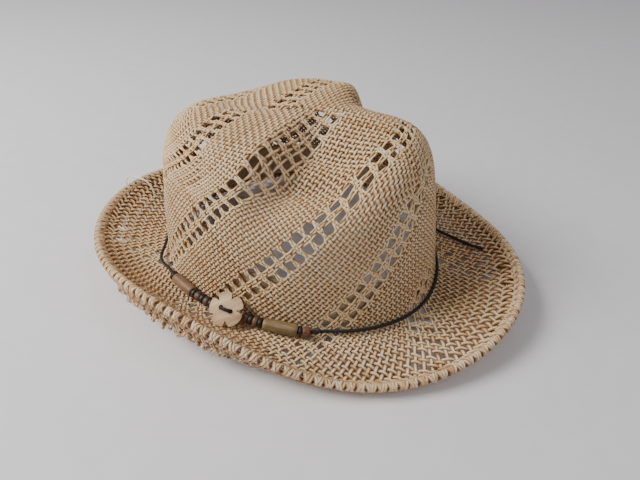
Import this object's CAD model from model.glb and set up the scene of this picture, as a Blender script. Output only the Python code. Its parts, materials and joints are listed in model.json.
# A woven straw hat with a pinched crown, an openwork weave, a turned-back brim edge, a
# sweatband, and a twisted cord that carries wooden beads and a coconut flower button.
# The wearer looks along -Y, so the back is +Y, the wearer's left is +X, and +Z is up.
# Shapes are worked out in millimetres and scaled to metres when a mesh is made.
import bpy
import json
import math
import numpy as np
from mathutils import Matrix, Vector


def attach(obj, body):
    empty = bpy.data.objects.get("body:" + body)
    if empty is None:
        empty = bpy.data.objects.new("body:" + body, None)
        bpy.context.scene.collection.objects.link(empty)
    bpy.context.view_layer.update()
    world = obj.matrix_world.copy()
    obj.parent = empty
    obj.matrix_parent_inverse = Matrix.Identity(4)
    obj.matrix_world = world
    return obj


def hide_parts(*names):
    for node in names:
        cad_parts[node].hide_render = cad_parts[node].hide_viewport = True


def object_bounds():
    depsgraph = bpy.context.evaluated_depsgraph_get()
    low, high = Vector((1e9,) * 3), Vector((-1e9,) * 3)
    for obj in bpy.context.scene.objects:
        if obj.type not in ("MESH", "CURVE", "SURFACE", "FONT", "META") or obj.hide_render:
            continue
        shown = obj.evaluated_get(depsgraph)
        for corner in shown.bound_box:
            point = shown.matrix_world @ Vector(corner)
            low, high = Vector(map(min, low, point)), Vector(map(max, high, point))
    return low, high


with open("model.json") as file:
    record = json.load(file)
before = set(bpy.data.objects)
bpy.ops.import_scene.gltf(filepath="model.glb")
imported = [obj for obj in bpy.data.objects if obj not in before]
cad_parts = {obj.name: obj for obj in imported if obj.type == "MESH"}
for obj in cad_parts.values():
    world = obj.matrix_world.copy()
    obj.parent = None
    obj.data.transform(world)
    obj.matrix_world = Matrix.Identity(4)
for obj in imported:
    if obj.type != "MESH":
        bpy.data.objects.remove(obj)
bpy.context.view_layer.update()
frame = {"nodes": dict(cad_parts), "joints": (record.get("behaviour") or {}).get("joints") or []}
nodes = frame["nodes"]
rng = np.random.default_rng(11)
pi = math.pi
MM = 0.001

# ---------------------------------------------------------------------
# dimensions of the hat's surface, the middle of the weave
# ---------------------------------------------------------------------
LIFT = 6.76                                   # height of the whole hat above its own zero
HALF_WIDTH, HALF_LENGTH = 88.0, 102.0         # oval at the crown base
BASE_WAVE = 6.0                               # the base line dips at front and back
SQUARENESS = 7.6                              # superellipse exponent of the crown section
TOP_SHARE = 0.46                              # share of the crown's run spent on its top
TAPER_X, TAPER_Y, LEAN_Y = 0.11, 0.135, 4.0
CROWN_HEIGHT, TOP_SLOPE, DOME = 109.0, -0.03, 4.0
CREASE_DEPTH, CREASE_WIDTH = 4.0, 18.0        # crease along the middle of the top
CREASE_Y, CREASE_FRONT, CREASE_BACK = 34.0, 26.0, 30.0
DENT_DEPTH, DENT_X, DENT_Y, DENT_RX, DENT_RY = 8.0, 26.0, 66.0, 34.0, 30.0
# front pinch: inward and downward shift on the wearer's right and left
PINCH_IN_R, PINCH_DOWN_R, PINCH_IN_L, PINCH_DOWN_L = 20.0, 18.0, 27.0, 3.0
PINCH_Y = (-2.0, -25.0, -36.0, -92.0)         # starts, full, full, ends, going forward
PINCH_Z = (62.0, 104.0)                       # starts, full
FILLET = 6.5                                  # between crown and brim
# brim edge: cosine and sine terms of the angle from the front
EDGE_RADIUS_COS = (140.5, 0.0, 18.2, 1.2, 1.6)
EDGE_RADIUS_SIN = (0.0, -0.5, 0.9)
EDGE_HEIGHT_COS = (16.5, -0.9, -8.0, 3.4, 4.6)
EDGE_HEIGHT_SIN = (0.0, -2.5, 6.8)
INNER_SLOPE_COS = (6.0, 0.0, 4.0)             # degrees, where the brim leaves the fillet
EDGE_SLOPE_COS = (42.0, 0.0, -16.0)           # degrees, at the brim edge
WEAVE_THICK = 2.6


# ---------------------------------------------------------------------
# small geometry helpers
# ---------------------------------------------------------------------
def unit(vectors):
    vectors = np.asarray(vectors, float)
    return vectors / np.maximum(np.linalg.norm(vectors, axis=-1, keepdims=True), 1e-9)


def reject(vectors, axes):
    """rows of vectors with their part along the unit axes taken out"""
    return vectors - (vectors * axes).sum(1, keepdims=True) * axes


def smooth_step(x, start, end):
    t = np.clip((x - start) / (end - start), 0.0, 1.0)
    return t * t * (3 - 2 * t)


def arc_length(path):
    steps = np.linalg.norm(np.diff(path, axis=0), axis=1)
    return np.concatenate([[0], np.cumsum(steps)])


def resample(path, count):
    """count points evenly along a path, and their arc lengths"""
    lengths = arc_length(path)
    wanted = np.linspace(0, lengths[-1], count)
    return np.stack([np.interp(wanted, lengths, path[:, k]) for k in range(3)], 1), wanted


def resample_rows(rows, count):
    """each row resampled evenly, and the row lengths"""
    parts = [resample(row, count) for row in rows]
    return np.array([points for points, _ in parts]), np.array([s[-1] for _, s in parts])


def integrate(rate, step=1.0):
    """running trapezoid sum from 0"""
    return np.concatenate([[0], np.cumsum((rate[1:] + rate[:-1]) / 2 * step)])


def harmonics(angle, cosines, sines=()):
    return (sum(c * np.cos(k * angle) for k, c in enumerate(cosines))
            + sum(s * np.sin(k * angle) for k, s in enumerate(sines)))


def bezier(a, b, c, d, t):
    return a * (1 - t) ** 3 + 3 * b * t * (1 - t) ** 2 + 3 * c * t * t * (1 - t) + d * t ** 3


# ---------------------------------------------------------------------
# the hat's surface
# ---------------------------------------------------------------------
def base_z(angle):
    return -BASE_WAVE * np.cos(2 * (angle + pi / 2))


def crown(angle, run):
    """points of the crown; run goes from 0 at the apex to 1 at the base"""
    knee = 0.5 ** (1 / SQUARENESS)

    def partner(value):
        return np.clip(1 - np.clip(value, 0, 1) ** SQUARENESS, 0, 1) ** (1 / SQUARENESS)
    on_top = run < TOP_SHARE
    top_radius = knee * run / TOP_SHARE
    side_height = knee * (1 - (run - TOP_SHARE) / (1 - TOP_SHARE))
    radius = np.where(on_top, top_radius, partner(side_height))
    height = np.where(on_top, partner(top_radius), side_height)
    x = HALF_WIDTH * (1 - TAPER_X * height) * radius * np.cos(angle)
    y = HALF_LENGTH * (1 - TAPER_Y * height) * radius * np.sin(angle) + LEAN_Y * height

    # the top: a slope and a dome, less the crease and a dent at the back
    top_z = CROWN_HEIGHT + TOP_SLOPE * y - DOME * ((x / HALF_WIDTH) ** 2 + (y / HALF_LENGTH) ** 2)
    reach = (y - CREASE_Y) / np.where(y < CREASE_Y, CREASE_FRONT, CREASE_BACK)
    top_z = top_z - CREASE_DEPTH * np.exp(-(x / CREASE_WIDTH) ** 2) * np.exp(-(reach ** 4) * 1.2)
    dent = ((x - DENT_X) / DENT_RX) ** 2 + ((y - DENT_Y) / DENT_RY) ** 2
    top_z = top_z - DENT_DEPTH * np.exp(-dent)
    z = (base_z(angle) + FILLET) * (1 - height) + height * top_z

    # the front pinch
    begin, full, still_full, end = PINCH_Y
    along = (1 - smooth_step(y, full, begin)) * smooth_step(y, end, still_full)
    upward = smooth_step(z, *PINCH_Z)
    inward = smooth_step(np.abs(x), 4.0, 74.0)
    right_side = smooth_step(-x, -16.0, 36.0)
    left_side = smooth_step(x, 4.0, 50.0)
    sign = np.where(x > 0, 1.0, -1.0)
    x = x - sign * np.where(sign < 0, PINCH_IN_R, PINCH_IN_L) * along * inward * upward
    drop = PINCH_DOWN_R * right_side + PINCH_DOWN_L * left_side
    return np.stack([x, y, z - along * upward * upward * drop], -1)


def brim(angle, run):
    """points of the brim; run is 0 to 1 over the fillet and 1 to 2 out to the edge"""
    base_x, base_y = HALF_WIDTH * np.cos(angle), HALF_LENGTH * np.sin(angle)
    polar, base_r = np.arctan2(base_y, base_x), np.hypot(base_x, base_y)
    low_z = base_z(angle)
    from_front = polar + pi / 2
    inner_slope = np.radians(harmonics(from_front, INNER_SLOPE_COS))
    edge_slope = np.radians(harmonics(from_front, EDGE_SLOPE_COS))
    edge_r = harmonics(from_front, EDGE_RADIUS_COS, EDGE_RADIUS_SIN)
    edge_z = harmonics(from_front, EDGE_HEIGHT_COS, EDGE_HEIGHT_SIN)
    foot_r, foot_z = base_r + FILLET, low_z + FILLET * np.sin(inner_slope) * 0.5

    pull = 0.55 * FILLET
    t = np.clip(run, 0, 1)
    fillet_r = bezier(base_r, base_r, foot_r - pull * np.cos(inner_slope), foot_r, t)
    fillet_z = bezier(low_z + FILLET, low_z + FILLET - pull,
                      foot_z - pull * np.sin(inner_slope), foot_z, t)
    chord = np.hypot(edge_r - foot_r, edge_z - foot_z)
    t = np.clip(run - 1, 0, 1)
    flat_r = bezier(foot_r, foot_r + 0.4 * chord * np.cos(inner_slope),
                    edge_r - 0.33 * chord * np.cos(edge_slope), edge_r, t)
    flat_z = bezier(foot_z, foot_z + 0.4 * chord * np.sin(inner_slope),
                    edge_z - 0.33 * chord * np.sin(edge_slope), edge_z, t)
    r = np.where(run <= 1, fillet_r, flat_r)
    z = np.where(run <= 1, fillet_z, flat_z)
    return np.stack([r * np.cos(polar), r * np.sin(polar), z], -1)


# lookup grid: columns at even ellipse angles, rows evenly spaced by arc length
COLUMNS, CROWN_ROWS, BRIM_ROWS = 720, 300, 120
ANGLES = np.linspace(0, 2 * pi, COLUMNS, endpoint=False)
crown_raw = crown(ANGLES[:, None], np.linspace(0, 1, 241)[None, :])
brim_run = np.concatenate([np.linspace(0, 1, 13)[1:], 1 + np.linspace(0, 1, 81)[1:]])
brim_raw = brim(ANGLES[:, None], brim_run[None, :])
crown_raw[..., 2] += LIFT
brim_raw[..., 2] += LIFT
crown_grid, CROWN_LENGTH = resample_rows(crown_raw, CROWN_ROWS + 1)
brim_grid, BRIM_LENGTH = resample_rows(np.concatenate([crown_raw[:, -1:], brim_raw], 1),
                                       BRIM_ROWS + 1)
GRID = np.concatenate([crown_grid, brim_grid[:, 1:]], 1)
AROUND = (np.roll(GRID, -1, 0) - np.roll(GRID, 1, 0)) / (2 * 2 * pi / COLUMNS)
NORMALS = unit(np.cross(np.gradient(GRID, axis=1), AROUND))
NORMALS[:, 0] = NORMALS[:, 3].mean(0)         # the apex has no normal of its own
CHANNELS = np.concatenate([GRID, NORMALS, AROUND], 2)
RUNS = np.concatenate([np.arange(CROWN_ROWS + 1) / CROWN_ROWS,
                       1 + np.arange(1, BRIM_ROWS + 1) / BRIM_ROWS])


def surface(angle, run):
    """point, outward normal and d(point)/d(angle) at an ellipse angle and a run:
    0 apex, 1 crown base, 2 brim edge"""
    angle, run = np.broadcast_arrays(np.asarray(angle, float), np.asarray(run, float))
    column = (angle / (2 * pi) * COLUMNS) % COLUMNS
    i = np.floor(column).astype(int) % COLUMNS
    part_i = (column - np.floor(column))[..., None]
    row = np.where(run <= 1, run * CROWN_ROWS, CROWN_ROWS + (run - 1) * BRIM_ROWS)
    j = np.floor(np.clip(row, 0, CROWN_ROWS + BRIM_ROWS - 1e-6)).astype(int)
    part_j = (row - j)[..., None]             # runs past 1 beyond the edge: straight on
    near, far = [CHANNELS[i, jj] * (1 - part_i) + CHANNELS[(i + 1) % COLUMNS, jj] * part_i
                 for jj in (j, j + 1)]
    mixed = near * (1 - part_j) + far * part_j
    return mixed[..., :3], unit(mixed[..., 3:6]), mixed[..., 6:9]


def edge_run(angle, back):
    """run at back mm inside the brim edge"""
    length = np.interp(np.asarray(angle) % (2 * pi), np.append(ANGLES, 2 * pi),
                       np.append(BRIM_LENGTH, BRIM_LENGTH[0]))
    return 2 - np.asarray(back) / length


# ---------------------------------------------------------------------
# meshes from swept sections
# ---------------------------------------------------------------------
def section(width, across, height, upward):
    """section offsets at each path point: (points, corners, side and normal)"""
    return np.stack([np.outer(width, across), np.outer(height, upward)], -1)


class Strands:
    """collects swept strands into one mesh with the attributes the finishes read"""

    def __init__(self):
        self.points, self.faces, self.values = [], [], []
        self.count = self.triangles = 0

    def add(self, points, faces, values):
        """values: strand x, y, z and tone of each point"""
        self.points.append(points)
        self.faces += faces
        self.values.append(values)
        self.count += len(points)

    def sweep(self, path, rough_normals, offsets, tone, tone_along=0.0):
        """tone: (corners, 2), a texture offset and a tone for each section corner"""
        tangent = unit(np.gradient(path, axis=0))
        normal = unit(reject(rough_normals, tangent))
        side = np.cross(normal, tangent)
        n, m = offsets.shape[:2]
        points = (path[:, None] + side[:, None] * offsets[:, :, :1]
                  + normal[:, None] * offsets[:, :, 1:2])
        values = np.zeros((n, m, 4))
        values[..., 0] = offsets[:, :, 0]
        values[..., 1] = arc_length(path)[:, None]
        values[..., 2] = tone[None, :, 0]
        values[..., 3] = tone[None, :, 1] + np.reshape(tone_along, (-1, 1))
        i = np.arange(n - 1)[:, None]
        j = np.arange(m)[None, :]
        j_next = (j + 1) % m
        quads = np.stack([(i + 1) * m + j, (i + 1) * m + j_next, i * m + j_next, i * m + j], -1)
        ring = np.arange(m)
        caps = np.array([ring, ((n - 1) * m + ring)[::-1]])
        self.triangles += 2 * (n - 1) * m + 8
        self.add(points.reshape(-1, 3),
                 [quads.reshape(-1, 4) + self.count, caps + self.count], values.reshape(-1, 4))

    def mesh(self, name):
        points = np.concatenate(self.points) * MM
        values = np.concatenate(self.values)
        starts, position = [], 0
        for block in self.faces:
            starts.append(position + np.arange(len(block)) * block.shape[1])
            position += block.size
        corners = np.concatenate([block.ravel() for block in self.faces])
        starts = np.concatenate(starts)
        mesh = bpy.data.meshes.new(name)
        mesh.vertices.add(len(points))
        mesh.vertices.foreach_set("co", points.astype(np.float32).ravel())
        mesh.loops.add(len(corners))
        mesh.loops.foreach_set("vertex_index", corners.astype(np.int32))
        mesh.polygons.add(len(starts))
        mesh.polygons.foreach_set("loop_start", starts.astype(np.int32))
        mesh.polygons.foreach_set("use_smooth", np.ones(len(starts), bool))
        strand = mesh.attributes.new("strand", "FLOAT_VECTOR", "POINT")
        strand.data.foreach_set("vector", values[:, :3].astype(np.float32).ravel())
        tone = mesh.attributes.new("tone", "FLOAT", "POINT")
        tone.data.foreach_set("value", values[:, 3].astype(np.float32))
        mesh.update(calc_edges=True)
        mesh.validate()
        ob = bpy.data.objects.new(name, mesh)
        bpy.context.scene.collection.objects.link(ob)
        return ob


# ---------------------------------------------------------------------
# weave labels: two families of slanted strands, A and B, lie at whole labels.
# A pair of labels (label of A, label of B) is a place on the hat.
# ---------------------------------------------------------------------
STRANDS_A, STRANDS_B = 162, 144               # strands round the hat
STRIPE = 18                                   # an openwork stripe every 18 strands of A
SLANT_A, SLANT_B = 0.84, 1.0
# between these runs the slanted strands bend into straight lines on the top
RUN_SIDE, RUN_TOP = 0.60, 0.36
STRIPE_ANGLES = np.radians(np.array([138.0, 178.0, 220.0]))   # first stripes at the base
SEAM_ANGLE = math.radians(112.0)              # the two halves of the top meet on this line

girth = np.linalg.norm(np.roll(GRID, -1, 0) - GRID, axis=2).sum(0)
GIRTH_RADIUS = np.maximum(girth / (2 * pi), 0.5)
mean_down = np.where(RUNS <= 1, RUNS * CROWN_LENGTH.mean(),
                     CROWN_LENGTH.mean() + (RUNS - 1) * BRIM_LENGTH.mean())
slant_ease = 1 - 0.25 * np.clip(RUNS - 1.25, 0, 1)
TURN_A = -integrate(SLANT_A * slant_ease / GIRTH_RADIUS, np.diff(mean_down))
TURN_B = integrate(SLANT_B * slant_ease / GIRTH_RADIUS, np.diff(mean_down))
TURN_A -= TURN_A[CROWN_ROWS]
TURN_B -= TURN_B[CROWN_ROWS]
TURN_GAP = TURN_B - TURN_A

ELLIPSE_TABLE = np.linspace(-2 * pi, 4 * pi, 6 * 720 + 1)
EVEN_TABLE = integrate(np.hypot(HALF_WIDTH * np.sin(ELLIPSE_TABLE),
                                HALF_LENGTH * np.cos(ELLIPSE_TABLE)))
EVEN_TABLE = EVEN_TABLE / EVEN_TABLE[-1] * 6 * pi - 2 * pi

stripes = STRANDS_A // STRIPE
third_stripe = STRIPE_ANGLES[2] - STRIPE_ANGLES[0]
STRIPE_TURNS = np.concatenate([
    [0, STRIPE_ANGLES[1] - STRIPE_ANGLES[0]],
    third_stripe + (2 * pi - third_stripe) / (stripes - 2) * np.arange(0, stripes - 1)])
STRIPE_LABELS = np.arange(stripes + 1) * STRIPE
FIRST_LABEL = 2.5 * STRIPE


def even_angle(angle):
    """angle even by arc length round the base oval, from ellipse angle"""
    return np.interp(angle, ELLIPSE_TABLE, EVEN_TABLE)


def label_at_base(even):
    """A label from even angle at the crown base"""
    laps = np.floor((even - STRIPE_ANGLES[0]) / (2 * pi))
    rest = even - STRIPE_ANGLES[0] - laps * 2 * pi
    return np.interp(rest, STRIPE_TURNS, STRIPE_LABELS) + FIRST_LABEL + laps * STRANDS_A


def base_at_label(label):
    laps = np.floor((label - FIRST_LABEL) / STRANDS_A)
    rest = label - FIRST_LABEL - laps * STRANDS_A
    return np.interp(rest, STRIPE_LABELS, STRIPE_TURNS) + STRIPE_ANGLES[0] + laps * 2 * pi


def side_labels(angle, run):
    even = even_angle(angle)
    return (label_at_base(even - np.interp(run, RUNS, TURN_A)),
            (even - np.interp(run, RUNS, TURN_B)) * STRANDS_B / (2 * pi))


def top_labels(x, y, half):
    if half:
        x, y = -x, -y
    return STRIPE * (35.0 - y) / (52.5 + 0.125 * np.clip(x, -80, 0)), x / 3.0


def side_place(label_a, label_b):
    """ellipse angle and run on the side and brim"""
    turn_a, turn_b = base_at_label(label_a), 2 * pi * label_b / STRANDS_B
    gap = turn_a - turn_b
    run = np.interp(gap, TURN_GAP, RUNS)
    past = (np.clip(gap - TURN_GAP[-1], 0, None) / (TURN_GAP[-1] - TURN_GAP[-2])
            * (RUNS[-1] - RUNS[-2]))
    even = (turn_a + np.interp(run, RUNS, TURN_A)) % (2 * pi)
    return np.interp(even, EVEN_TABLE, ELLIPSE_TABLE), run + past


def top_gap(degrees, half):
    """side labels less top labels at one place on the upper crown"""
    angle = math.radians(degrees + 180 * half)
    point = surface(angle, 0.47)[0]
    side = side_labels(np.array(angle), np.array(0.47))
    top = top_labels(point[0], point[1], half)
    return side[0] - top[0], side[1] - top[1]


class Top:
    """lookup from labels to a place on one half of the upper crown;
    places are held on a flat unit disc, two cells to a label"""
    CELLS = 2

    def __init__(self, half):
        self.half = half
        rows, cols = 520, 330
        angle = SEAM_ANGLE + pi * half + np.linspace(-0.30, pi + 0.30, rows)[:, None]
        run = np.linspace(0.0015, RUN_SIDE + 0.03, cols)[None, :]
        angle, run = np.broadcast_arrays(angle, run)
        points = surface(angle, run)[0]
        side_a, side_b = side_labels(angle, run)
        top_a, top_b = top_labels(points[..., 0], points[..., 1], half)
        # whole stripes and whole strands are added so that top and side agree
        half_stripe = STRIPE / 2
        stripe_gap = np.round((top_gap(187.0, half)[0] - half_stripe) / STRIPE)
        top_a = top_a + stripe_gap * STRIPE + half_stripe
        top_b = top_b + np.round(top_gap(203.0, half)[1])
        share = 1 - smooth_step(run, RUN_TOP, RUN_SIDE)
        label_a = side_a * (1 - share) + top_a * share
        label_b = side_b * (1 - share) + top_b * share
        self.low = [math.floor(label.min()) - 2 for label in (label_a, label_b)]
        self.high = [math.ceil(label.max()) + 2 for label in (label_a, label_b)]
        size = [(high - low) * self.CELLS + 1 for low, high in zip(self.low, self.high)]
        self.table = np.full((*size, 2), np.nan)

        corner_a, corner_b, corner_x, corner_y = [
            np.stack([grid[i:i + rows - 1, j:j + cols - 1].ravel()
                      for i, j in ((0, 0), (1, 0), (1, 1), (0, 1))], 1)
            for grid in (*self.cell(label_a, label_b), run * np.cos(angle), run * np.sin(angle))]
        for triangle in ([0, 1, 2], [0, 2, 3]):
            self.fill(*[corner[:, triangle] for corner in (corner_a, corner_b, corner_x, corner_y)])

    def cell(self, label_a, label_b):
        return (label_a - self.low[0]) * self.CELLS, (label_b - self.low[1]) * self.CELLS

    def fill(self, cell_a, cell_b, disc_x, disc_y):
        """write the table at the whole cells that each triangle covers"""
        a1, a2 = cell_a[:, 1] - cell_a[:, 0], cell_a[:, 2] - cell_a[:, 0]
        b1, b2 = cell_b[:, 1] - cell_b[:, 0], cell_b[:, 2] - cell_b[:, 0]
        area2 = a1 * b2 - a2 * b1
        first_i, first_j = np.ceil(cell_a.min(1) - 1e-9), np.ceil(cell_b.min(1) - 1e-9)
        for step_i in range(3):
            for step_j in range(3):
                i, j = first_i + step_i, first_j + step_j
                keep = ((np.abs(area2) > 1e-12) & (i <= cell_a.max(1) + 1e-9)
                        & (j <= cell_b.max(1) + 1e-9))
                to_i, to_j = i - cell_a[:, 0], j - cell_b[:, 0]
                part1 = (to_i * b2 - a2 * to_j)[keep] / area2[keep]
                part2 = (a1 * to_j - to_i * b1)[keep] / area2[keep]
                inside = (part1 > -1e-6) & (part2 > -1e-6) & (part1 + part2 < 1 + 1e-6)
                part1, part2 = part1[inside], part2[inside]
                at_i, at_j = i[keep][inside].astype(int), j[keep][inside].astype(int)
                for axis, disc in enumerate((disc_x, disc_y)):
                    disc = disc[keep][inside]
                    self.table[at_i, at_j, axis] = (disc[:, 0] + part1 * (disc[:, 1] - disc[:, 0])
                                                    + part2 * (disc[:, 2] - disc[:, 0]))

    def __call__(self, label_a, label_b):
        """ellipse angle and run; NaN off this half"""
        a, b = self.cell(label_a, label_b)
        table = self.table
        i = np.clip(np.floor(a).astype(int), 0, table.shape[0] - 2)
        j = np.clip(np.floor(b).astype(int), 0, table.shape[1] - 2)
        part_a, part_b = np.clip(a - i, 0, 1)[..., None], np.clip(b - j, 0, 1)[..., None]
        near, far = [table[i, jj] * (1 - part_a) + table[i + 1, jj] * part_a for jj in (j, j + 1)]
        disc = near * (1 - part_b) + far * part_b
        return np.arctan2(disc[..., 1], disc[..., 0]), np.hypot(disc[..., 0], disc[..., 1])


# ---------------------------------------------------------------------
# openwork stripes: tables over the label of A within one stripe
# ---------------------------------------------------------------------
HOLES = (7.5, 10.5)                           # middles of the two rows of holes
SHIFT_FROM_HOLE = [0, .5, 1.5, 2.5, 3.5, 4.5]
SHIFT = [0, .66, .35, .18, .07, 0]            # labels pushed away from a hole
BUNDLE_AT = [4.4, 5, 6, 6.8, 7.5, 8.2, 9, 9.8, 10.5, 11.2, 12, 13, 13.6]
BUNDLE = [0, .06, .28, .80, 1.08, .82, .46, .82, 1.08, .80, .28, .06, 0]
NARROW_AT = [4, 5, 6, 7, 8, 9, 10, 11, 12, 13, 14]
NARROW = [1, .90, .78, .74, .66, .60, .66, .74, .78, .90, 1]


def open_labels(label_a, label_b, hole_size, fade):
    """labels moved aside round the holes, the bundling of B and the width share of A"""
    within = label_a % STRIPE
    shift = sum(np.sign(within - hole) * np.interp(np.abs(within - hole), SHIFT_FROM_HOLE, SHIFT)
                for hole in HOLES) * hole_size * fade
    bundle = np.interp(within, BUNDLE_AT, BUNDLE) * fade
    width_a = 1 - (1 - np.interp(within, NARROW_AT, NARROW)) * fade
    swing = 0.56 + 0.44 * np.cos(2 * pi * (label_b - 0.5) / 3)
    # strands of B gather in threes
    off = (label_b - 2 + 1.5) % 3 - 1.5
    pull = np.where(np.abs(off) <= 1, -off, -np.sign(off) * (1.5 - np.abs(off)) / 0.5)
    return label_a + shift * swing, label_b + 0.70 * bundle * pull, bundle, width_a


# ---------------------------------------------------------------------
# weave strands
# ---------------------------------------------------------------------
ARCH = 0.84                                   # how far a strand rises and dips at crossings
STRAND_THICK = 1.48
CROWDED = 1.62                                # spacing below which every other strand stops
FULL_WIDTH = 2.4                              # width from which a strand has full thickness
STOP_BACK = 3.2                               # the weave ends this far inside the brim edge
MESH_TRIANGLES = 188000                       # a mesh is closed once it passes this
STAND_IN = 0.3                                # angle and run used where a place is unknown
STRAND_ACROSS = np.array([-.5, -.30, 0, .30, .5, 0])
STRAND_UP = np.array([0, .5, .5, .5, 0, -.5])

# each strand keeps its own tones and small wanderings all along
TONES = rng.uniform(0, 1, (2, STRANDS_A, 2))
TONES[..., 0] = 0.6 * TONES[..., 0] + 0.4 * TONES[..., 1]
PHASES = rng.uniform(0, 2 * pi, (2, STRANDS_A, 8))
WIDTHS = rng.normal(1, 0.04, (2, STRANDS_A))


def neighbours(place, label_a, label_b, half_a, half_b):
    """angle and run on both sides of each place"""
    return (*place(label_a - half_a, label_b - half_b), *place(label_a + half_a, label_b + half_b))


def vector_between(ends, known):
    angle0, run0, angle1, run1 = np.where(known, ends, STAND_IN)
    return surface(angle1, run1)[0] - surface(angle0, run0)[0]


def add_strand(strands, family, index, steps, place):
    """one strand; steps run along it in labels of the other family"""
    fixed = np.full(len(steps), float(index))
    label_a, label_b = (fixed, steps) if family == 0 else (steps, fixed)
    own = index % STRANDS_A

    def wander(channel, rate):
        phase = PHASES[family, own]
        return (0.6 * np.sin(rate * steps + phase[channel])
                + 0.4 * np.sin(rate * 2.3 * steps + phase[(channel + 3) % 8]))

    # holes are smaller where the strands lie wide apart, and fade out over the brim
    ends_a = neighbours(place, label_a, label_b, 0.5, 0)
    ends_b = neighbours(place, label_a, label_b, 0, 0.5)
    known = np.isfinite(ends_a + ends_b).all(0)
    to_a, to_b = vector_between(ends_a, known), vector_between(ends_b, known)
    spacing = (np.linalg.norm(np.cross(to_a, to_b), axis=1)
               / np.maximum(np.linalg.norm(to_b, axis=1), 1e-6))
    hole_size = np.clip((6.0 / np.maximum(spacing, 0.5) - 1) / 1.22, 0.12, 0.92)
    hole_size = np.where(known, hole_size, 1.0)
    rough_run = np.where(known, ends_a[1], STAND_IN)
    fade = 1 - 0.55 * smooth_step(rough_run, 1.06, 1.40)
    low_stripe = (label_a > 90) & (label_a < 108)         # this stripe starts low on the crown
    fade = np.where(low_stripe, fade * smooth_step(rough_run, 0.84, 0.95), fade)
    label_a, label_b, bundle, width_a = open_labels(label_a, label_b, hole_size, fade)
    jitter = 0.035 * wander(0, 0.9)
    across_a, across_b = 1.0 - family, float(family)
    label_a, label_b = label_a + jitter * across_a, label_b + jitter * across_b

    angle, run = place(label_a, label_b)
    ends = neighbours(place, label_a, label_b, 0.5 * across_a, 0.5 * across_b)
    keep = np.isfinite((angle, run) + ends).all(0)
    on_top = place is not side_place
    if on_top:                                # the side's own strands take over below
        keep &= run < RUN_SIDE + 0.006
    angle, run = np.where(keep, (angle, run), STAND_IN)
    points, normals, around = surface(angle, run)
    between = reject(vector_between(ends, keep), normals)
    if on_top:                                # the halves overlap by 1 mm at the seam
        turn = (angle - SEAM_ANGLE - pi * place.half) % (2 * pi)
        past = (np.minimum(np.abs(turn - pi), np.abs(2 * pi - turn))
                * np.linalg.norm(around, axis=1))
        keep &= (turn < pi) | (past < 1.0)
    tangents = unit(np.gradient(points, axis=0))
    pitch = np.linalg.norm(reject(between, tangents), axis=1)
    crowded = pitch < CROWDED
    if index % 2:
        keep &= ~crowded
    pitch = np.where(crowded, 2 * pitch, pitch)

    over = np.cos(pi * (steps + index)) * (1 if family == 0 else -1)
    height = ARCH * over * (1 - 0.30 * bundle) + 0.05 * wander(1, 1.3)
    # share of the pitch that a strand fills, less over an airy part of the back brim
    share = np.interp(run, [0, 1.0, 1.12, 1.85, 2.0], [0.70, 0.70, 0.60, 0.58, 0.68])
    airy = (np.exp(-((np.degrees(angle) % 360 - 118.0) / 42.0) ** 2)
            * smooth_step(run, 1.05, 1.25))
    width = np.minimum(share * (1 - 0.20 * airy) * pitch, 2.75)
    width = width * (1 + 0.16 * over * (1 - 0.6 * bundle))
    width = width * (width_a if family == 0 else 1 - 0.38 * bundle)
    width = np.clip(width * (1 + 0.06 * wander(2, 1.7)) * WIDTHS[family, own], 0.8, 3.0)
    thick = (STRAND_THICK * (0.82 + 0.18 * np.clip(width / FULL_WIDTH, 0, 1))
             * (1 + 0.04 * wander(4, 1.1)))
    offsets = section(width, STRAND_ACROSS, thick, STRAND_UP)
    offsets[:, 2, 1] -= 0.16 * np.clip(width / FULL_WIDTH, 0.3, 1)        # groove on top
    tone1, tone2 = TONES[family, own]
    middle = (tone1 + tone2) / 2
    tone = np.array([[0, t] for t in (tone1, tone1, middle, tone2, tone2, middle)])
    tone[:, 0] = PHASES[family, own, 5] * 8
    path = points + normals * height[:, None]
    tone_along = 0.34 * over - 0.10

    change = np.diff(np.concatenate([[0], keep.astype(int), [0]]))
    for first, last in zip(np.nonzero(change == 1)[0], np.nonzero(change == -1)[0]):
        if last - first >= 5:
            kept = slice(first, last)
            strands.sweep(path[kept], normals[kept], offsets[kept], tone, tone_along[kept])


def third_steps(low, high):
    return np.arange(math.ceil(low * 3 + 0.25), math.floor(high * 3 - 0.25) + 1) / 3


def weave_jobs(family, halves):
    """index, steps and place lookup of every strand of a family"""
    top_gap_turn, edge_gap_turn = np.interp([RUN_SIDE, 2 - STOP_BACK / BRIM_LENGTH.mean()],
                                            RUNS, TURN_GAP)
    for index in range((STRANDS_A, STRANDS_B)[family]):
        if family == 0:
            high = (base_at_label(index) - top_gap_turn) * STRANDS_B / (2 * pi)
            low = (base_at_label(index) - edge_gap_turn) * STRANDS_B / (2 * pi)
        else:
            turn = 2 * pi * index / STRANDS_B
            low, high = label_at_base(turn + top_gap_turn), label_at_base(turn + edge_gap_turn)
        low, high = float(low), float(high)
        yield index, np.concatenate([[low], third_steps(low, high), [high]]), side_place
    other = 1 - family
    for top in halves:
        for index in range(top.low[family], top.high[family]):
            yield index, third_steps(top.low[other], top.high[other]), top


def build_weave():
    pieces = []
    halves = [Top(0), Top(1)]
    for family in (0, 1):
        strands, part = Strands(), 0
        for index, steps, place in weave_jobs(family, halves):
            add_strand(strands, family, index, steps, place)
            if strands.triangles > MESH_TRIANGLES:
                pieces.append(strands.mesh("weave_%s_%d" % ("ab"[family], part)))
                strands, part = Strands(), part + 1
        if strands.count:
            pieces.append(strands.mesh("weave_%s_%d" % ("ab"[family], part)))
    return pieces


weave = build_weave()

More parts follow.
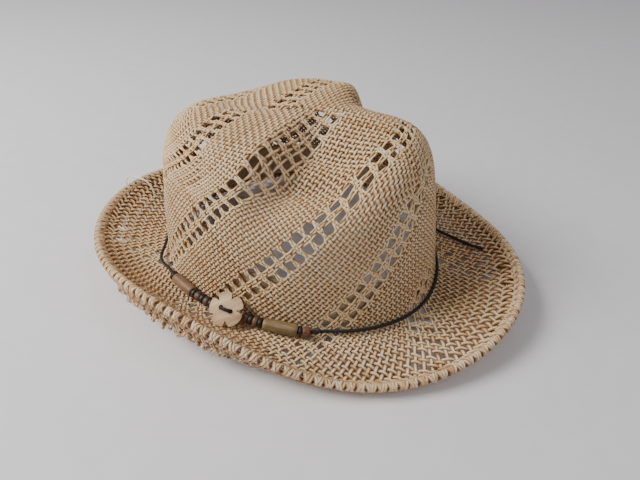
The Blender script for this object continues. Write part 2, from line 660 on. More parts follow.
# ---------------------------------------------------------------------
# brim edge: strand ends turned back under, woven both ways, ends free
# ---------------------------------------------------------------------
WIRE_BACK, WIRE_UP = 2.1, -0.75               # the wire, from the edge and from the surface
WIRE_PATH_RADIUS = 1.50                       # path round the wire
WIRE_PATH_UP = WIRE_PATH_RADIUS * 1.12
TURN_SIDEWAYS = 2.4                           # sideways run while going round the wire
EDGE_STRANDS = 150
YARN_GAP = 1.75                               # two yarns side by side in each strand
EDGE_THICK = 1.62
LOOP_REACH = 1.75                             # edge yarns keep this far from the tag loop
EDGE_RADIUS = float(np.interp(1.99, RUNS, GIRTH_RADIUS))
EDGE_PITCH = 2 * pi * EDGE_RADIUS / EDGE_STRANDS


def smooth_noise(count, step, amount):
    knots = max(4, int(count / step) + 3)
    return np.interp(np.linspace(0, knots - 1, count), np.arange(knots),
                     rng.normal(0, amount, knots))


def edge_point(angle, back, up):
    points, normals, _ = surface(angle, edge_run(angle, back))
    return points + normals * np.asarray(up)[..., None], normals


def loop_sweep():
    """swing centre of the filament loop, and its points as it swings"""
    loop = nodes["tag_loop"]
    points = np.array([list(loop.matrix_world @ v.co) for v in loop.data.vertices]) / MM
    joint = next(j for j in frame["joints"] if j["name"] == "tag_loop_swing")
    centre = np.array(joint["pos_m"]) / MM
    axis = np.array(joint["axis"]) / np.linalg.norm(joint["axis"])
    arm = points - centre
    swung = [centre + arm * math.cos(a) + np.cross(axis, arm) * math.sin(a)
             + np.outer(arm @ axis, axis) * (1 - math.cos(a))
             for a in np.radians([-13, -9, -5, 0, 5, 9, 13])]
    return centre, np.concatenate(swung)


LOOP_CENTRE, LOOP_POINTS = loop_sweep()


def near_loop(points):
    if np.linalg.norm(points[:, :2].mean(0) - LOOP_CENTRE[:2]) > 60:
        return np.zeros(len(points), bool)
    distance2 = ((points[:, None] - LOOP_POINTS[None]) ** 2).sum(2).min(1)
    return distance2 < LOOP_REACH * LOOP_REACH


def turnback_stations(family, yarn, length, stick):
    """distance back from the edge, height and sideways run; and the free end's count"""
    t = np.linspace(0, 1, 4)[:-1]
    rise = 0.80 * np.sin(pi * t * 0.9) if family else 0.45 * t
    on_brim_top = (6.2 - 4.1 * t, 0.30 + rise, -3.0 * (1 - t))

    t = np.linspace(0, 1, 7)
    turn = pi / 2 + pi * t
    round_wire = (WIRE_BACK + WIRE_PATH_RADIUS * np.cos(turn),
                  WIRE_UP + WIRE_PATH_UP * np.sin(turn), TURN_SIDEWAYS * t)

    # back under the brim on the slant, crossing the other set three times
    count = int(length / 1.15)
    t = np.arange(1, count + 1) / count
    span = 1.43 * EDGE_PITCH
    first = (0.5 * EDGE_PITCH - 2 * TURN_SIDEWAYS) % EDGE_PITCH / (2 * span)
    wave = np.cos(pi * (t - first) * 2 * span / EDGE_PITCH) * np.minimum(1, 4 * t)
    under = (WIRE_BACK + (length - WIRE_BACK) * t,
             WIRE_UP - WIRE_PATH_UP - 0.15 - 5.2 * t ** 1.15 + (0.72 if family else -0.72) * wave,
             TURN_SIDEWAYS + span * t)

    # free end, with its own drift back, down and sideways
    drift_back, drift_down, drift_side = (rng.normal(0.60, 0.4), rng.uniform(0.30, 1.0),
                                          rng.normal(0.7, 0.6))
    drift_side += (yarn - 0.5) * rng.uniform(0.1, 1.0)
    free_count = max(2, int(stick))
    t = np.arange(1, free_count + 1) / free_count
    free = (under[0][-1] + drift_back * stick * t,
            under[1][-1] - drift_down * stick * t * (0.4 + 0.6 * t),
            under[2][-1] + drift_side * stick * t)
    return (*[np.concatenate(part) for part in zip(on_brim_top, round_wire, under, free)],
            free_count)


def add_edge_yarn(strands, family, yarn, start_angle, length, stick):
    back, up, sideways, free_count = turnback_stations(family, yarn, length, stick)
    n = len(back)
    lean = 1.0 if family else -1.0
    yarn_offset = (yarn - 0.5) * YARN_GAP * np.linspace(1, 1.05, n)
    angle = start_angle + (sideways * lean + yarn_offset + smooth_noise(n, 6, 0.16)) / EDGE_RADIUS
    back = back + smooth_noise(n, 6, 0.12)
    points, normals = edge_point(angle, np.maximum(back, -0.4), up + smooth_noise(n, 5, 0.10))
    points[:, 2] = np.maximum(points[:, 2], 0.9)

    # a yarn that would meet the tag loop stops short, or is left out
    stop = int(np.argmax(np.append(near_loop(points), True)))
    if stop < 12:
        return
    if stop < n:
        free_count = 1
    points, normals, angle, up, back = [a[:stop] for a in (points, normals, angle, up, back)]

    # the section's upper side looks away from the wire
    wire, _ = edge_point(angle, np.full(stop, WIRE_BACK), np.full(stop, WIRE_UP))
    far = np.clip((back - 3.0) / 3.0, 0, 1)[:, None]
    facing = unit(points - wire) * (1 - far) + normals * np.sign(up - WIRE_UP)[:, None] * far
    width = np.full(stop, rng.uniform(2.25, 2.65))
    width[-free_count:] *= np.linspace(1.0, rng.uniform(0.55, 1.15), free_count)
    offsets = section(width, [-.5, -.3, .3, .5, .3, -.3],
                      np.full(stop, EDGE_THICK), [0, .5, .5, 0, -.5, -.5])
    tone = np.full((6, 2), rng.uniform(0, 1))
    tone[:, 0] = rng.uniform(0, 50)
    strands.sweep(points, facing, offsets, tone)


def add_fibre(strands):
    """a thin fibre that stands off the cut ends"""
    start_angle = rng.uniform(0, 2 * pi)
    start_back, length = rng.uniform(8, 13.5), rng.uniform(3, 7.5)
    t = np.linspace(0, 1, 7)
    back = start_back + rng.normal(0.4, 0.7) * length * t * t
    up = -2.6 - rng.uniform(0.25, 0.95) * length * t * (0.6 + 0.4 * t)
    sideways = rng.normal(0, 1.2) * length * t + rng.normal(0, 1.0) * length * t * t
    points, normals = edge_point(start_angle + sideways / EDGE_RADIUS, back, up)
    points[:, 2] = np.maximum(points[:, 2], 0.5)
    width = 0.55 * (1 - 0.6 * t)
    offsets = section(width, [-.5, 0, .5, 0], width, [0, .4, 0, -.4])
    strands.sweep(points, normals, offsets, np.full((4, 2), rng.uniform(0.3, 1)))


def build_edge():
    sets = [Strands(), Strands()]
    for family, strands in enumerate(sets):
        for k in range(EDGE_STRANDS):
            angle = 2 * pi * (k + 0.5 * family) / EDGE_STRANDS + rng.normal(0, 0.0025)
            length, stick = rng.uniform(12.6, 14.8), rng.uniform(1.2, 4.4)
            for yarn in (0, 1):
                add_edge_yarn(strands, family, yarn, angle, length, stick)
    for _ in range(260):
        add_fibre(sets[1])
    return [strands.mesh("edge_turnback_%s" % "ab"[i]) for i, strands in enumerate(sets)]


edge_pieces = build_edge()

# ---------------------------------------------------------------------
# sweatband: ribbed cloth with rolled hems
# ---------------------------------------------------------------------
BAND_HEIGHT = 28.0
BAND_INSET = WEAVE_THICK / 2 + 0.35 + 0.5     # half the weave, a gap, half the band
BAND_COLUMNS = 720
BAND_RIBS = 240


def build_sweatband():
    angle = np.linspace(0, 2 * pi, BAND_COLUMNS, endpoint=False)
    runs = np.linspace(0.35, 1.0, 240)
    bottom = base_z(angle) + LIFT + FILLET + 1.0
    heights = np.stack([surface(angle, np.full(BAND_COLUMNS, run))[0][:, 2] for run in runs], 1)
    levels = np.concatenate([np.linspace(0, 2.2, 5), np.linspace(4, BAND_HEIGHT - 4.2, 9),
                             np.linspace(BAND_HEIGHT - 2.4, BAND_HEIGHT, 5)])
    middle, normals = [], []
    for level in levels:
        run = np.array([np.interp(-(bottom[i] + level), -heights[i], runs)
                        for i in range(BAND_COLUMNS)])
        points, normal, _ = surface(angle, run)
        middle.append(points)
        normals.append(normal)
    middle, normals = np.array(middle), np.array(normals)
    hem = (np.exp(-((levels - 1.1) / 1.0) ** 4)
           + np.exp(-((levels - (BAND_HEIGHT - 1.2)) / 1.1) ** 4))
    half = 0.36 + 0.26 * hem
    half[0] = half[-1] = 0.18
    rib = 0.07 * np.cos(angle * BAND_RIBS)[None, :] * (1 - hem)[:, None]
    wave = ((0.18 * np.sin(angle * 7 + 0.6) + 0.12 * np.sin(angle * 17))[None, :]
            * (levels / BAND_HEIGHT)[:, None])
    inner = middle - normals * (BAND_INSET + half[:, None] + rib + wave)[..., None]
    outer = middle - normals * (BAND_INSET - half[:, None] + wave * 0.5)[..., None]
    ring = np.concatenate([inner, outer[::-1]], 0)
    m = len(ring)
    points = ring.transpose(1, 0, 2).reshape(-1, 3)
    i = np.arange(BAND_COLUMNS)[:, None]
    j = np.arange(m)[None, :]
    i_next, j_next = (i + 1) % BAND_COLUMNS, (j + 1) % m
    quads = np.stack([i * m + j, i_next * m + j, i_next * m + j_next, i * m + j_next], -1)
    values = np.zeros((len(points), 4))
    values[:, 0] = np.tile(np.concatenate([levels, levels[::-1]]), BAND_COLUMNS)
    values[:, 1] = np.repeat(angle * 95.0, m)  # length round the band at 95 mm radius
    values[:, 3] = 0.5
    band = Strands()
    band.add(points, [quads.reshape(-1, 4)], values)
    return band.mesh("sweatband_cloth")


sweatband = build_sweatband()

# ---------------------------------------------------------------------
# cord: three twisted plies round the hat, through the beads and the flower button
# ---------------------------------------------------------------------
CORD_RADIUS = 1.2
# outward and upward offsets from the crown base
CORD_OUT, CORD_UP, BEAD_OUT, BEAD_UP = 3.1, 5.4, 6.2, 6.5
FLOWER_THICK, FLOWER_OUT, FLOWER_UP = 3.0, 10.2, 13.2
FLOWER_AT = 6.6                               # along the bead line
HOLE_X = 3.1                                  # button holes, from its middle
CORD_STEP = math.radians(1.6)
BEAD_CENTRE = math.radians(179.0)             # ellipse angle at 0 on the bead line
KNOT_ANGLE = math.radians(-36)
KNOT_HALF = math.radians(3.4)

# name, start and end along the bead line, kind of wood
BEADS = [
    ("spacer_ring_1", -50.3, -47.7, "black"), ("tube_bead_back", -47.1, -25.9, "warm horn"),
    ("spacer_ring_2", -25.3, -22.5, "black"), ("small_bead_1", -22.2, -17.6, "dark"),
    ("spacer_ring_3", -17.3, -14.5, "black"), ("small_bead_2", -14.2, -10.2, "dark"),
    ("spacer_ring_4", -9.9, -7.1, "black"), ("small_bead_3", 15.4, 19.0, "brown"),
    ("spacer_ring_5", 19.3, 21.9, "black"), ("small_bead_4", 22.2, 25.4, "brown"),
    ("spacer_ring_6", 25.7, 28.1, "black"), ("tube_bead_front", 28.7, 50.1, "horn"),
    ("spacer_ring_7", 50.7, 52.7, "black"), ("small_bead_5", 53.0, 57.8, "red")]


def base_point(angle, out, up):
    normal = np.array([math.cos(angle) / HALF_WIDTH, math.sin(angle) / HALF_LENGTH, 0])
    return np.array([HALF_WIDTH * math.cos(angle), HALF_LENGTH * math.sin(angle),
                     float(base_z(angle)) + LIFT + up]) + unit(normal) * out


line_angles = BEAD_CENTRE + np.radians(np.arange(-600, 601) * 0.1)
line_lengths = arc_length(np.array([base_point(a, BEAD_OUT, BEAD_UP) for a in line_angles]))
line_lengths -= line_lengths[600]


def bead_line(distance, out=BEAD_OUT, up=BEAD_UP):
    """point at a distance along the bead line"""
    return base_point(float(np.interp(distance, line_lengths, line_angles)), out, up)


bead_ends = {name: (bead_line(start), bead_line(end)) for name, start, end, _ in BEADS}

flower_normal = unit([-0.66, -0.20, 0.72])
flower_centre = bead_line(FLOWER_AT, FLOWER_OUT, FLOWER_UP)
flower_line = bead_line(FLOWER_AT + 4) - bead_line(FLOWER_AT - 4)
flower_x = unit(flower_line - flower_normal * flower_line.dot(flower_normal))
flower_y = np.cross(flower_normal, flower_x)
flower_tilt = math.radians(-2)
hole_axis = flower_x * math.cos(flower_tilt) + flower_y * math.sin(flower_tilt)


def through_flower(before, after):
    """cord points from one bead end up through a hole, over the button and back down"""
    hole1, hole2 = flower_centre - hole_axis * HOLE_X, flower_centre + hole_axis * HOLE_X
    face = FLOWER_THICK / 2
    under1, under2 = [hole - flower_normal * (face + 1.9) for hole in (hole1, hole2)]

    def at(start, rise, shift=0.0):
        return start + flower_normal * rise + hole_axis * shift
    return [before, at((before + under1) * 0.5, -0.3), at(under1, 0, -0.25),
            at(hole1, -face), hole1, at(hole1, face),
            at(hole1, face + 1.0, 0.25), at(hole1, face + 1.55, 1.3),
            at(flower_centre, face + 1.7),
            at(hole2, face + 1.55, -1.3), at(hole2, face + 1.0, -0.25),
            at(hole2, face), hole2, at(hole2, -face),
            at(under2, 0, 0.25), at((under2 + after) * 0.5, -0.3), after]


def bead_chain():
    chain = []
    for name, _, _, _ in BEADS:
        start, end = bead_ends[name]
        axis = unit(end - start)
        if name == "small_bead_3":
            ring_start, ring_end = bead_ends["spacer_ring_4"]
            chain += through_flower(chain[-1] + unit(ring_end - ring_start) * 1.6,
                                    start - axis * 1.6)
        n = max(2, int(np.linalg.norm(end - start) / 1.3))
        first, last = start - axis * 0.12, end + axis * 0.12
        chain += [first + (last - first) * (k / n) for k in range(n + 1)]
    return chain


def nearest_angle(point):
    """ellipse angle of the bead-line point nearest to point"""
    angles = np.radians(np.arange(120, 240, 0.05))
    line = np.array([base_point(a, BEAD_OUT, BEAD_UP) for a in angles])
    return float(angles[np.argmin(((line - point) ** 2).sum(1))])


def free_cord(angle, end):
    """cord points between two angles, swung outward near 139 degrees"""
    points = []
    while angle < end:
        swing = math.exp(-((math.degrees(angle) - 139.0) / 9.0) ** 2)
        points.append(base_point(angle, CORD_OUT + 5.0 * swing, CORD_UP + 0.6 * swing))
        angle += CORD_STEP
    return points


def joined(before, after):
    """points that lead from the end of one run into the start of another"""
    p, q = before[-1], after[0]
    length = np.linalg.norm(p - q)
    pull_p = p + unit(p - before[-2]) * length * 0.35
    pull_q = q - unit(after[1] - q) * length * 0.35
    n = max(3, int(length / 1.5))
    return [bezier(p, pull_p, pull_q, q, t) for t in np.arange(1, n) / n]


def extended(points):
    """points with one more at each end, straight on"""
    points = np.array(points, float)
    return np.concatenate([[2 * points[0] - points[1]], points, [2 * points[-1] - points[-2]]])


def bspline(points):
    """uniform cubic B-spline through a control polygon, ends held"""
    p = extended(points)
    out = [((1 - t) ** 3 * p[i] + (3 * t ** 3 - 6 * t * t + 4) * p[i + 1]
            + (-3 * t ** 3 + 3 * t * t + 3 * t + 1) * p[i + 2] + t ** 3 * p[i + 3]) / 6
           for i in range(len(p) - 3) for t in np.arange(4) / 4]
    out.append((p[-3] * 4 + p[-4] + p[-2]) / 6)
    return np.array(out)


def catmull(points):
    """Catmull-Rom curve through points, at steps of about 0.8"""
    p = extended(points)
    out = []
    for i in range(1, len(p) - 2):
        n = max(2, int(np.linalg.norm(p[i + 1] - p[i]) / 0.8))
        for t in np.arange(n) / n:
            out.append(0.5 * (2 * p[i] + (p[i + 1] - p[i - 1]) * t
                              + (2 * p[i - 1] - 5 * p[i] + 4 * p[i + 1] - p[i + 2]) * t * t
                              + (3 * p[i] - p[i - 1] - 3 * p[i + 1] + p[i + 2]) * t ** 3))
    out.append(p[-2])
    return np.array(out)


def add_rope(strands, path, radius=CORD_RADIUS, lay=6.2):
    """three round plies twisted along a path; lay is the length of one twist"""
    plies, corners = 3, 6
    path, lengths = resample(path, max(3, int(arc_length(path)[-1] / 0.62) + 1))
    tangents = unit(np.gradient(path, axis=0))
    first = np.array([0, 0, 1.0]) if abs(tangents[0, 2]) < 0.8 else np.array([1.0, 0, 0])
    sides = []
    for tangent in tangents:
        first = unit(first - tangent * first.dot(tangent))
        sides.append(first)
    sides = np.array(sides)
    others = np.cross(tangents, sides)
    ply_radius = radius * 0.53
    sizes = np.full(len(path), ply_radius)
    ring = np.linspace(0, 2 * pi, corners, endpoint=False)
    for k in range(plies):
        turn = 2 * pi * (k / plies + lengths / lay)
        outward = sides * np.cos(turn)[:, None] + others * np.sin(turn)[:, None]
        strands.sweep(path + outward * (radius - ply_radius), outward,
                      section(sizes, np.cos(ring), sizes, np.sin(ring)),
                      np.full((corners, 2), rng.uniform(0, 1)))


def build_cord():
    gap = math.radians(6.0)                   # left free between cord and bead line
    before = free_cord(KNOT_ANGLE + KNOT_HALF,
                       nearest_angle(bead_ends[BEADS[0][0]][0]) - gap)
    chain = bead_chain()
    after = free_cord(nearest_angle(bead_ends[BEADS[-1][0]][1]) + gap,
                      KNOT_ANGLE - KNOT_HALF + 2 * pi)
    points = before + joined(before, chain) + chain + joined(chain, after) + after
    strands = Strands()
    add_rope(strands, bspline(points))
    return strands.mesh("cord_twisted")


def build_knot():
    """wraps round the running cord, and two tails that lie on the brim"""
    start = base_point(KNOT_ANGLE - KNOT_HALF, CORD_OUT, CORD_UP)
    end = base_point(KNOT_ANGLE + KNOT_HALF, CORD_OUT, CORD_UP)
    axis = unit(end - start)
    length = np.linalg.norm(end - start)
    outward = np.array([math.cos(KNOT_ANGLE), math.sin(KNOT_ANGLE), 0])
    centre = (start + end) / 2 + outward * 1.9 + np.array([0, 0, 1.2])
    brim_points = surface(ANGLES[:, None], np.linspace(1.02, 2, 90)[None, :])[0].reshape(-1, 3)
    tail_lift = WEAVE_THICK / 2 + CORD_RADIUS + 0.70

    def on_brim(x, y, extra=0.0):
        i = np.argmin((brim_points[:, 0] - x) ** 2 + (brim_points[:, 1] - y) ** 2)
        return np.array([x, y, brim_points[i, 2] + tail_lift + extra])

    side = unit(np.cross(axis, [0, 0, 1.0]))
    other = np.cross(axis, side)
    wraps, wrap_radius = 3.4, 1.75
    t = np.linspace(0, 1, 90)
    turn = t * wraps * 2 * pi
    helix = (centre + axis * ((t - 0.5) * (length - 2.6))[:, None]
             + (np.cos(turn)[:, None] * side + np.sin(turn)[:, None] * other) * wrap_radius)
    half_core = axis * (length / 2 - 0.4)
    front_tail = [centre - axis * 1.0, centre - axis * 5.5 + np.array([0, 0, -0.2]),
                  on_brim(71.5, -74.0, 1.2), on_brim(64.5, -88.0, 0.3), on_brim(60.5, -103.0),
                  on_brim(56.0, -115.0), on_brim(52.0, -126.0)]
    side_tail = [centre + axis * 1.0, centre + axis * 5.5 + outward * 0.4,
                 on_brim(91.5, -44.0, 1.6), on_brim(97.0, -36.5, 0.4), on_brim(102.0, -30.0)]
    strands = Strands()
    add_rope(strands, helix, radius=1.12, lay=5.0)
    add_rope(strands, catmull([centre - half_core, centre, centre + half_core]),
             radius=0.9, lay=5.0)
    add_rope(strands, catmull(front_tail))
    add_rope(strands, catmull(side_tail))
    return strands.mesh("cord_knot_and_tails")


cord = build_cord()
knot = build_knot()

# ---------------------------------------------------------------------
# finishes
# ---------------------------------------------------------------------
BLACK, WHITE = (0, 0, 0), (1, 1, 1)


def shade(color, factor):
    return tuple(factor * c for c in color)


class Finish:
    """a small helper over one material's node tree"""

    def __init__(self, name):
        self.material = bpy.data.materials.new(name)
        self.material.use_nodes = True
        self.tree = self.material.node_tree
        self.shader = next(n for n in self.tree.nodes if n.type == "BSDF_PRINCIPLED")

    def node(self, kind, **settings):
        node = self.tree.nodes.new(kind)
        for key, value in settings.items():
            setattr(node, key, value)
        return node

    def feed(self, socket, value):
        """link a socket, or set it to a colour or a number"""
        if isinstance(value, bpy.types.NodeSocket):
            self.tree.links.new(value, socket)
        else:
            socket.default_value = value + (1,) if isinstance(value, tuple) else value

    def scaled(self, vector, scale):
        mapping = self.node("ShaderNodeMapping")
        mapping.inputs["Scale"].default_value = scale
        self.feed(mapping.inputs["Vector"], vector)
        return mapping.outputs["Vector"]

    def noise(self, vector, scale=1.0, detail=3.0, rough=0.55):
        noise = self.node("ShaderNodeTexNoise")
        for key, value in (("Scale", scale), ("Detail", detail), ("Roughness", rough),
                           ("Vector", vector)):
            self.feed(noise.inputs[key], value)
        return noise.outputs["Fac"]

    def ramp(self, factor, *stops):
        """stops: (position, colour)"""
        ramp = self.node("ShaderNodeValToRGB")
        elements = ramp.color_ramp.elements
        while len(elements) < len(stops):
            elements.new(0.5)
        for element, (position, color) in zip(elements, stops):
            element.position = position
            element.color = color + (1,)
        self.feed(ramp.inputs["Fac"], factor)
        return ramp.outputs["Color"]

    def mask(self, factor, start, end):
        return self.ramp(factor, (start, BLACK), (end, WHITE))

    def mix(self, base, tint, factor, blend="MIX"):
        mix = self.node("ShaderNodeMix", data_type="RGBA", blend_type=blend)
        for index, value in ((0, factor), (6, base), (7, tint)):
            self.feed(mix.inputs[index], value)
        return mix.outputs[2]

    def overlay(self, base, tint, mask, amount):
        return self.mix(base, tint, self.math("MULTIPLY", mask, amount))

    def math(self, operation, *values):
        math_node = self.node("ShaderNodeMath", operation=operation)
        for socket, value in zip(math_node.inputs, values):
            self.feed(socket, value)
        return math_node.outputs[0]

    def bump(self, height, strength, distance):
        bump = self.node("ShaderNodeBump")
        bump.inputs["Strength"].default_value = strength
        bump.inputs["Distance"].default_value = distance
        self.feed(bump.inputs["Height"], height)
        self.feed(self.shader.inputs["Normal"], bump.outputs["Normal"])

    def strand(self):
        return self.node("ShaderNodeAttribute", attribute_name="strand").outputs["Vector"]

    def tone(self):
        return self.node("ShaderNodeAttribute", attribute_name="tone").outputs["Fac"]

    def place(self):
        return self.node("ShaderNodeTexCoord").outputs["Object"]

    def done(self, color, rough, specular):
        self.feed(self.shader.inputs["Base Color"], color)
        self.feed(self.shader.inputs["Roughness"], rough)
        self.shader.inputs["Specular IOR Level"].default_value = specular
        return self.material


def straw(name, pale, middle, deep, stain, bump):
    f = Finish(name)
    strand = f.strand()
    color = f.ramp(f.tone(), (0.0, deep), (0.35, middle), (1.0, pale))
    split = f.node("ShaderNodeSeparateXYZ")
    f.feed(split.inputs["Vector"], strand)
    flank = f.mask(f.math("ABSOLUTE", split.outputs["X"]), 0.28, 0.92)
    color = f.overlay(color, (0.27, 0.12, 0.048), flank, amount=0.88)
    streak = f.noise(f.scaled(strand, (4.2, 0.16, 3.1)), detail=4.0, rough=0.6)
    streak = f.ramp(streak, (0.30, shade(middle, 0.80)), (0.62, WHITE))
    color = f.mix(color, streak, 0.42, blend="MULTIPLY")
    patches = f.noise(f.place(), scale=26.0, rough=0.5)
    color = f.overlay(color, stain, f.mask(patches, 0.46, 0.74), amount=0.30)
    specks = f.noise(f.place(), scale=900.0, detail=2.0, rough=0.5)
    color = f.overlay(color, shade(deep, 0.45), f.mask(specks, 0.70, 0.80), amount=0.35)
    fibres = f.noise(f.scaled(strand, (7.0, 0.5, 3.1)), detail=5.0, rough=0.65)
    f.bump(fibres, strength=bump, distance=0.0005)
    return f.done(color, f.math("MULTIPLY_ADD", fibres, 0.25, 0.62), specular=0.22)


def cloth():
    f = Finish("sweatband_cloth")
    strand = f.strand()
    rib = f.node("ShaderNodeTexWave", wave_type="BANDS", bands_direction="Y")
    rib.inputs["Scale"].default_value = 0.32
    rib.inputs["Distortion"].default_value = 0.6
    f.feed(rib.inputs["Vector"], strand)
    weft = f.noise(f.scaled(strand, (3.2, 0.9, 1)))
    stain = f.noise(f.place(), scale=30.0)
    color = f.mix((0.50, 0.37, 0.24), (0.62, 0.48, 0.32), weft)
    color = f.overlay(color, (0.36, 0.25, 0.15), f.mask(stain, 0.48, 0.75), amount=0.35)
    height = f.math("ADD", rib.outputs["Fac"], f.math("MULTIPLY", weft, 0.5))
    f.bump(height, strength=0.6, distance=0.0004)
    return f.done(color, f.math("MULTIPLY_ADD", weft, 0.2, 0.72), specular=0.2)


def thread():
    f = Finish("thread")
    fibres = f.noise(f.scaled(f.place(), (2600, 2600, 900)))
    f.bump(fibres, strength=0.5, distance=0.0002)
    color = f.ramp(fibres, (0.3, (0.60, 0.50, 0.37)), (0.7, (0.86, 0.78, 0.64)))
    return f.done(color, f.math("MULTIPLY_ADD", fibres, 0.2, 0.6), specular=0.3)


def cord_finish():
    f = Finish("cord")
    strand, tone = f.strand(), f.tone()
    fibres = f.noise(f.scaled(strand, (9.0, 2.2, 1)), detail=4.0, rough=0.6)
    dust = f.noise(f.place(), scale=220.0)
    color = f.ramp(f.math("MULTIPLY_ADD", fibres, 0.6, f.math("MULTIPLY", tone, 0.3)),
                   (0.2, (0.006, 0.005, 0.005)), (0.85, (0.026, 0.022, 0.020)))
    color = f.overlay(color, (0.10, 0.085, 0.075), f.mask(dust, 0.60, 0.80), amount=0.22)
    f.bump(fibres, strength=0.55, distance=0.0003)
    return f.done(color, f.math("MULTIPLY_ADD", fibres, 0.3, 0.38), specular=0.45)


def wood(name, tones, axis, grain, stretch, rough, bump):
    """grain that runs along axis; tones: dark, middle, light. Gives finish, colour, roughness"""
    dark, middle, light = tones
    f = Finish(name)
    mapping = f.node("ShaderNodeMapping")
    turn = Vector(axis).normalized().to_track_quat("Z", "Y").inverted().to_euler()
    mapping.inputs["Rotation"].default_value = turn
    f.feed(mapping.inputs["Vector"], f.place())
    turned = mapping.outputs["Vector"]
    coarse = f.noise(f.scaled(turned, (grain, grain, grain * stretch)), detail=5.0, rough=0.62)
    fine = f.noise(f.scaled(turned, (grain * 6, grain * 6, grain * 0.5)), detail=4.0, rough=0.6)
    figure = f.math("MULTIPLY_ADD", fine, 0.30, f.math("MULTIPLY", coarse, 0.75))
    color = f.ramp(figure, (0.36, dark), (0.52, middle), (0.70, light))
    color = f.overlay(color, shade(dark, 0.35), f.mask(fine, 0.66, 0.76), amount=0.55)
    wear = f.noise(f.place(), scale=420.0)
    color = f.overlay(color, shade(light, 1.35), f.mask(wear, 0.60, 0.82), amount=0.30)
    f.bump(figure, strength=bump, distance=0.0004)
    return f, color, f.math("MULTIPLY_ADD", fine, 0.30, rough)


def coconut():
    tones = ((0.36, 0.22, 0.11), (0.56, 0.38, 0.21), (0.74, 0.56, 0.36))
    f, color, rough = wood("coconut", tones, tuple(flower_x * 0.8 + flower_y * 0.6),
                           grain=260.0, stretch=0.10, rough=0.5, bump=0.35)
    # the cut sides are darker than the two faces
    geometry = f.node("ShaderNodeNewGeometry")
    facing = f.node("ShaderNodeVectorMath", operation="DOT_PRODUCT")
    f.feed(facing.inputs[0], geometry.outputs["Normal"])
    facing.inputs[1].default_value = tuple(flower_normal)
    side = f.ramp(f.math("ABSOLUTE", facing.outputs["Value"]), (0.45, WHITE), (0.80, BLACK))
    burn = f.ramp(f.noise(f.place(), scale=700.0),
                  (0.3, (0.085, 0.045, 0.022)), (0.75, (0.30, 0.18, 0.095)))
    return f.done(f.overlay(color, burn, side, amount=0.9), rough, specular=0.35)


def filament():
    f = Finish("filament")
    cloud = f.noise(f.place(), scale=300.0)
    fine = f.noise(f.place(), scale=2500.0, detail=2.0)
    f.bump(fine, strength=0.2, distance=0.0001)
    f.shader.inputs["Subsurface Weight"].default_value = 0.2
    f.shader.inputs["Subsurface Scale"].default_value = 0.001
    color = f.ramp(cloud, (0.3, (0.80, 0.80, 0.78)), (0.7, (0.95, 0.95, 0.94)))
    return f.done(color, f.math("MULTIPLY_ADD", fine, 0.2, 0.22), specular=0.5)


def steel():
    f = Finish("edge_wire")
    fine = f.noise(f.place(), scale=600.0, detail=4.0)
    f.shader.inputs["Metallic"].default_value = 1.0
    f.bump(fine, strength=0.2, distance=0.0001)
    color = f.ramp(fine, (0.3, (0.36, 0.34, 0.31)), (0.7, (0.58, 0.57, 0.56)))
    return f.done(color, f.math("MULTIPLY_ADD", fine, 0.3, 0.25), specular=0.5)


def floor_paint():
    f = Finish("floor_paint")
    cloud = f.noise(f.place(), scale=60.0)
    f.bump(cloud, strength=0.05, distance=0.0005)
    color = f.ramp(cloud, (0.3, (0.78, 0.765, 0.79)), (0.7, (0.81, 0.795, 0.82)))
    return f.done(color, 0.6, specular=0.3)


# kind: slot, specular, (dark, middle, light), grain settings
TUBE = dict(grain=210.0, stretch=0.14, rough=0.34, bump=0.25)
SPACER = dict(grain=320.0, stretch=0.4, rough=0.34, bump=0.3)
SMALL = dict(grain=300.0, stretch=0.25, rough=0.36, bump=0.3)
WOODS = {
    "horn": ("light_wood", 0.5,
             ((0.075, 0.045, 0.016), (0.155, 0.098, 0.040), (0.29, 0.205, 0.095)), TUBE),
    "warm horn": ("light_wood", 0.5,
                  ((0.085, 0.042, 0.020), (0.16, 0.082, 0.040), (0.29, 0.17, 0.088)), TUBE),
    "black": ("black_wood", 0.45,
              ((0.006, 0.004, 0.004), (0.014, 0.009, 0.008), (0.040, 0.024, 0.018)), SPACER),
    "dark": ("dark_wood", 0.45,
             ((0.030, 0.015, 0.009), (0.065, 0.032, 0.019), (0.13, 0.066, 0.040)), SMALL),
    "red": ("red_wood", 0.45,
            ((0.070, 0.024, 0.012), (0.15, 0.055, 0.028), (0.26, 0.105, 0.056)), SMALL),
    "brown": ("red_wood", 0.45,
              ((0.050, 0.022, 0.011), (0.115, 0.052, 0.026), (0.22, 0.105, 0.055)), SMALL),
}


def dress(ob, material):
    ob.data.materials.clear()
    ob.data.materials.append(material)


def stand_in(ob, body, replaced, material):
    """a built piece that rides a body in place of a CAD piece"""
    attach(ob, body)
    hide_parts(replaced)
    dress(ob, material)


straw_finish = straw("straw", pale=(0.97, 0.81, 0.55), middle=(0.87, 0.65, 0.38),
                     deep=(0.44, 0.23, 0.095), stain=(0.78, 0.47, 0.23), bump=0.5)
edge_finish = straw("straw_edge", pale=(0.98, 0.83, 0.60), middle=(0.89, 0.69, 0.44),
                    deep=(0.66, 0.43, 0.22), stain=(0.80, 0.52, 0.27), bump=0.6)
for piece in weave:
    stand_in(piece, "hat", "woven_hood", straw_finish)
for piece in edge_pieces:
    stand_in(piece, "hat", "brim_edge_roll", edge_finish)
stand_in(sweatband, "hat", "sweatband", cloth())
black_cord = cord_finish()
stand_in(cord, "band", "hat_cord", black_cord)
stand_in(knot, "band", "cord_knot", black_cord)
dress(nodes["brim_wire"], steel())
dress(nodes["sweatband_stitches"], thread())
dress(nodes["flower_button"], coconut())
dress(nodes["tag_loop"], filament())
fuller = nodes["tag_loop"].modifiers.new("fuller", "DISPLACE")
fuller.mid_level, fuller.strength = 0.0, 0.0002
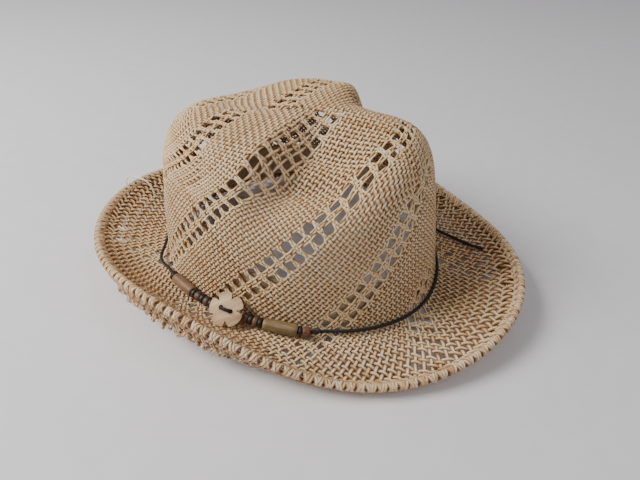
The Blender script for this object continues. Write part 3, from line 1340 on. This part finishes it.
for name, _, _, kind in BEADS:
    slot, specular, tones, grain_settings = WOODS[kind]
    axis = bead_ends[name][1] - bead_ends[name][0]
    f, color, rough = wood(name + "_wood", tones, axis, **grain_settings)
    dress(nodes[name], f.done(color, rough, specular))

# ---------------------------------------------------------------------
# floor, world, camera, lights (metres)
# ---------------------------------------------------------------------
FLOOR_HALF = 3.0
CAMERA_TURN, CAMERA_RISE = math.radians(-60.0), math.radians(39.0)
CAMERA_DISTANCE = 378.0 * MM
# the view axis is turned off the hat's centre, sideways and up or down
PAN, TILT = math.radians(-2.267261), math.radians(-0.3390935)


def build_floor():
    low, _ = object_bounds()
    mesh = bpy.data.meshes.new("floor")
    z = min(low[2], 0.0) - 0.0002
    corners = [(-1, -1), (1, -1), (1, 1), (-1, 1)]
    mesh.from_pydata([(x * FLOOR_HALF, y * FLOOR_HALF, z) for x, y in corners], [],
                     [(0, 1, 2, 3)])
    floor = bpy.data.objects.new("floor", mesh)
    bpy.context.scene.collection.objects.link(floor)
    mesh.materials.append(floor_paint())


build_floor()

world = bpy.data.worlds.new("world")
bpy.context.scene.world = world
world.use_nodes = True
background = world.node_tree.nodes["Background"]
background.inputs["Color"].default_value = (0.87, 0.85, 0.87, 1)
background.inputs["Strength"].default_value = 0.40

# directions seen from the camera: toward it, to its right and upward
toward = np.array([math.sin(CAMERA_TURN) * math.cos(CAMERA_RISE),
                   -math.cos(CAMERA_TURN) * math.cos(CAMERA_RISE), math.sin(CAMERA_RISE)])
right = np.array([math.cos(CAMERA_TURN), math.sin(CAMERA_TURN), 0.0])


def build_camera():
    upward = np.cross(toward, right)
    camera_x = right * math.cos(PAN) - toward * math.sin(PAN)
    panned = -right * math.sin(PAN) - toward * math.cos(PAN)
    camera_y = upward * math.cos(TILT) + panned * math.sin(TILT)
    forward = -upward * math.sin(TILT) + panned * math.cos(TILT)
    position = toward * CAMERA_DISTANCE + np.array([0, 0, LIFT * MM])
    data = bpy.data.cameras.new("camera")
    data.sensor_width = 36.0
    data.lens = 27.5625
    data.clip_start, data.clip_end = 0.01, 20
    camera = bpy.data.objects.new("camera", data)
    matrix = Matrix.Identity(4)
    for row in range(3):
        matrix[row] = (camera_x[row], camera_y[row], -forward[row], position[row])
    camera.matrix_world = matrix
    bpy.context.scene.collection.objects.link(camera)
    bpy.context.scene.camera = camera


def area_light(name, location, size, power, color):
    """a square light that looks at the hat"""
    data = bpy.data.lights.new(name, "AREA")
    data.shape, data.size, data.energy, data.color = "SQUARE", size, power, color
    light = bpy.data.objects.new(name, data)
    light.location = location
    look = Vector((0, 0, 0.05)) - Vector(location)
    light.rotation_euler = look.to_track_quat("-Z", "Y").to_euler()
    bpy.context.scene.collection.objects.link(light)


build_camera()
area_light("key", tuple(-right * 0.95 + np.array([0, 0, 0.85]) + toward * 0.15),
           size=0.60, power=21.0, color=(1.0, 0.985, 0.955))
area_light("fill", tuple(right * 1.0 + toward * 0.7 + np.array([0, 0, 0.7])),
           size=1.0, power=3.0, color=(0.92, 0.95, 1.0))
